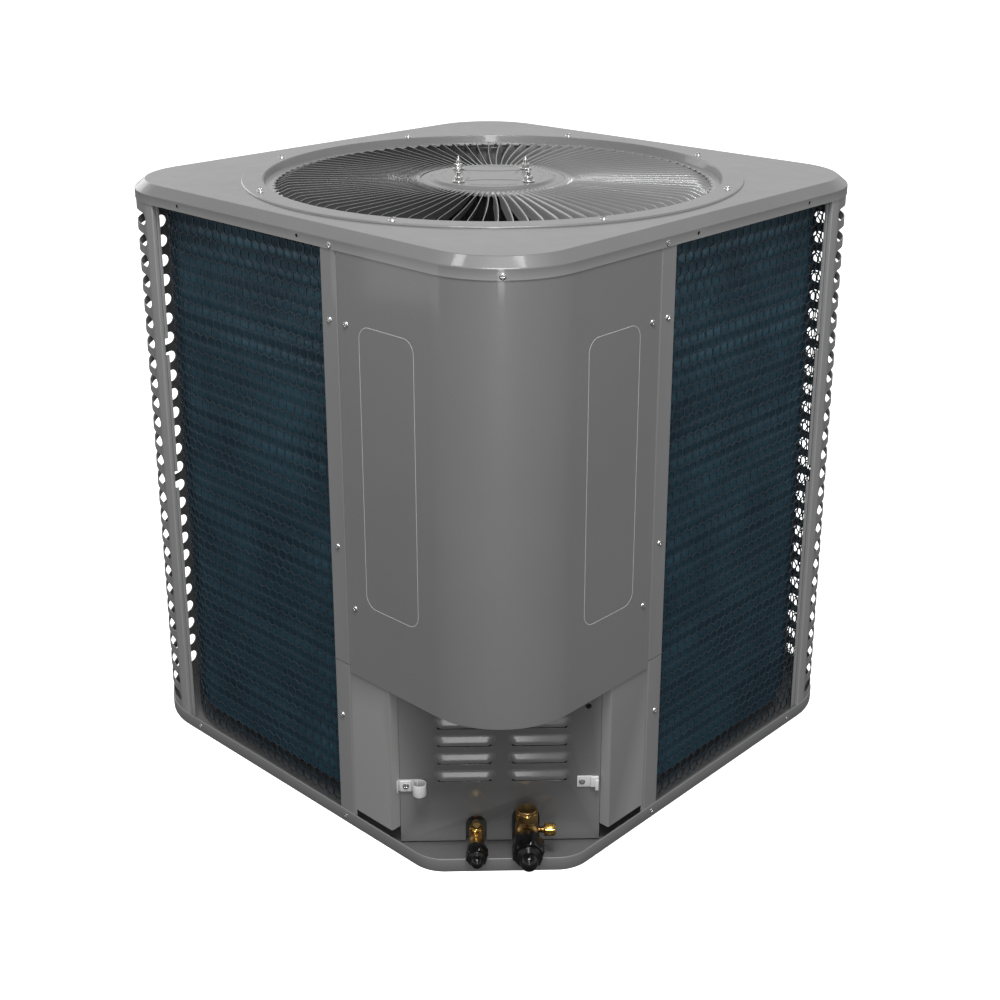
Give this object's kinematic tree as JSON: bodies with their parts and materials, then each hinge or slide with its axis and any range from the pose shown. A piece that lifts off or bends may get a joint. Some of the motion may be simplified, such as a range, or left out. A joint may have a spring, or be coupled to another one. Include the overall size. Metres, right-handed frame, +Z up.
{
  "type": "top-discharge heat pump outdoor unit",
  "caption": "Square outdoor heat pump cabinet with a top fan under a radial vane guard, wrap-round coil, slotted corner posts and two capped service valves.",
  "frame": {"origin": "centre of the base pan's footprint, on the plane it stands on", "axes": "+Z up along the fan's axis; X and Y square to the four sides; the service corner with the valves points along +X -Y"},
  "size_m": [0.71, 0.71, 0.769],
  "materials": {
    "cabinet_paint": "semi-gloss grey polyester powder coat on galvanised sheet",
    "coil_fins": "blue-green hydrophilic coated aluminium fins",
    "net_plastic": "black coated coil guard mesh",
    "galvanised_steel": "bare galvanised sheet",
    "motor_paint": "black enamel",
    "shaft_steel": "ground steel",
    "fan_plastic": "moulded dark grey plastic",
    "zinc_fastener": "zinc plated steel",
    "valve_brass": "machined brass",
    "flare_cap_plastic": "glossy black plastic",
    "copper_tube": "drawn copper tube",
    "compressor_paint": "black enamel on drawn steel",
    "foot_rubber": "moulded rubber",
    "inner_plastic": "moulded black plastic",
    "board_laminate": "green circuit laminate",
    "sink_aluminium": "extruded aluminium"
  },
  "bodies": {
    "cabinet": {"base_pan": "cabinet_paint", "top_cover": "cabinet_paint", "fan_guard": "cabinet_paint", "corner_post_left": "cabinet_paint", "corner_post_right": "cabinet_paint", "corner_post_back": "cabinet_paint", "front_post_left": "cabinet_paint", "front_post_right": "cabinet_paint", "service_cover": "cabinet_paint", "side_panel_left": "cabinet_paint", "side_panel_right": "cabinet_paint", "valve_panel": "cabinet_paint", "fan_shroud": "cabinet_paint", "condenser_coil": "coil_fins", "coil_guard_net": "net_plastic", "coil_end_plate_left": "galvanised_steel", "coil_end_plate_right": "galvanised_steel", "valve_bracket": "galvanised_steel", "electrical_box": "galvanised_steel", "electrical_lid": "galvanised_steel", "cable_clip_left": "galvanised_steel", "cable_clip_right": "galvanised_steel", "fan_motor": "motor_paint", "motor_nut_1": "zinc_fastener", "motor_nut_2": "zinc_fastener", "motor_nut_3": "zinc_fastener", "motor_nut_4": "zinc_fastener", "cover_screw_left_1": "zinc_fastener", "cover_screw_left_2": "zinc_fastener", "cover_screw_right_1": "zinc_fastener", "cover_screw_right_2": "zinc_fastener", "gas_valve_body": "valve_brass", "liquid_valve_body": "valve_brass", "expansion_valve": "valve_brass", "four_way_valve": "valve_brass", "liquid_distributor": "valve_brass", "gas_header": "copper_tube", "discharge_pipe": "copper_tube", "suction_pipe": "copper_tube", "gas_pipe": "copper_tube", "liquid_pipe": "copper_tube", "filter_drier": "copper_tube", "compressor_shell": "compressor_paint", "suction_accumulator": "compressor_paint", "compressor_foot_1": "foot_rubber", "compressor_foot_2": "foot_rubber", "compressor_foot_3": "foot_rubber", "compressor_terminal_cover": "inner_plastic", "reversing_solenoid": "inner_plastic", "control_board": "board_laminate", "heat_sink": "sink_aluminium"},
    "fan": {"motor_shaft": "shaft_steel", "fan_propeller": "fan_plastic", "fan_nut": "zinc_fastener"},
    "gas_stem_cap_body": {"gas_stem_cap": "valve_brass"},
    "liquid_stem_cap_body": {"liquid_stem_cap": "valve_brass"},
    "charge_port_cap_body": {"charge_port_cap": "valve_brass"},
    "gas_flare_cap_body": {"gas_flare_cap": "flare_cap_plastic"},
    "liquid_flare_cap_body": {"liquid_flare_cap": "flare_cap_plastic"}
  },
  "joints": [
    {"name": "fan_spin", "type": "hinge", "parent": "cabinet", "child": "fan", "pos_m": [0, 0, 0.62], "axis": [0, 0, 1], "continuous": true},
    {"name": "gas_stem_cap_off", "type": "slide", "parent": "cabinet", "child": "gas_stem_cap_body", "axis": [0, 0, 1], "range_m": [0, 0.03]},
    {"name": "liquid_stem_cap_off", "type": "slide", "parent": "cabinet", "child": "liquid_stem_cap_body", "axis": [0, 0, 1], "range_m": [0, 0.025]},
    {"name": "charge_port_cap_off", "type": "slide", "parent": "cabinet", "child": "charge_port_cap_body", "axis": [0.7071, 0.7071, 0], "range_m": [0, 0.02]},
    {"name": "gas_flare_cap_off", "type": "slide", "parent": "cabinet", "child": "gas_flare_cap_body", "axis": [0.7071, -0.7071, 0], "range_m": [0, 0.03]},
    {"name": "liquid_flare_cap_off", "type": "slide", "parent": "cabinet", "child": "liquid_flare_cap_body", "axis": [0.7071, -0.7071, 0], "range_m": [0, 0.025]}
  ]
}
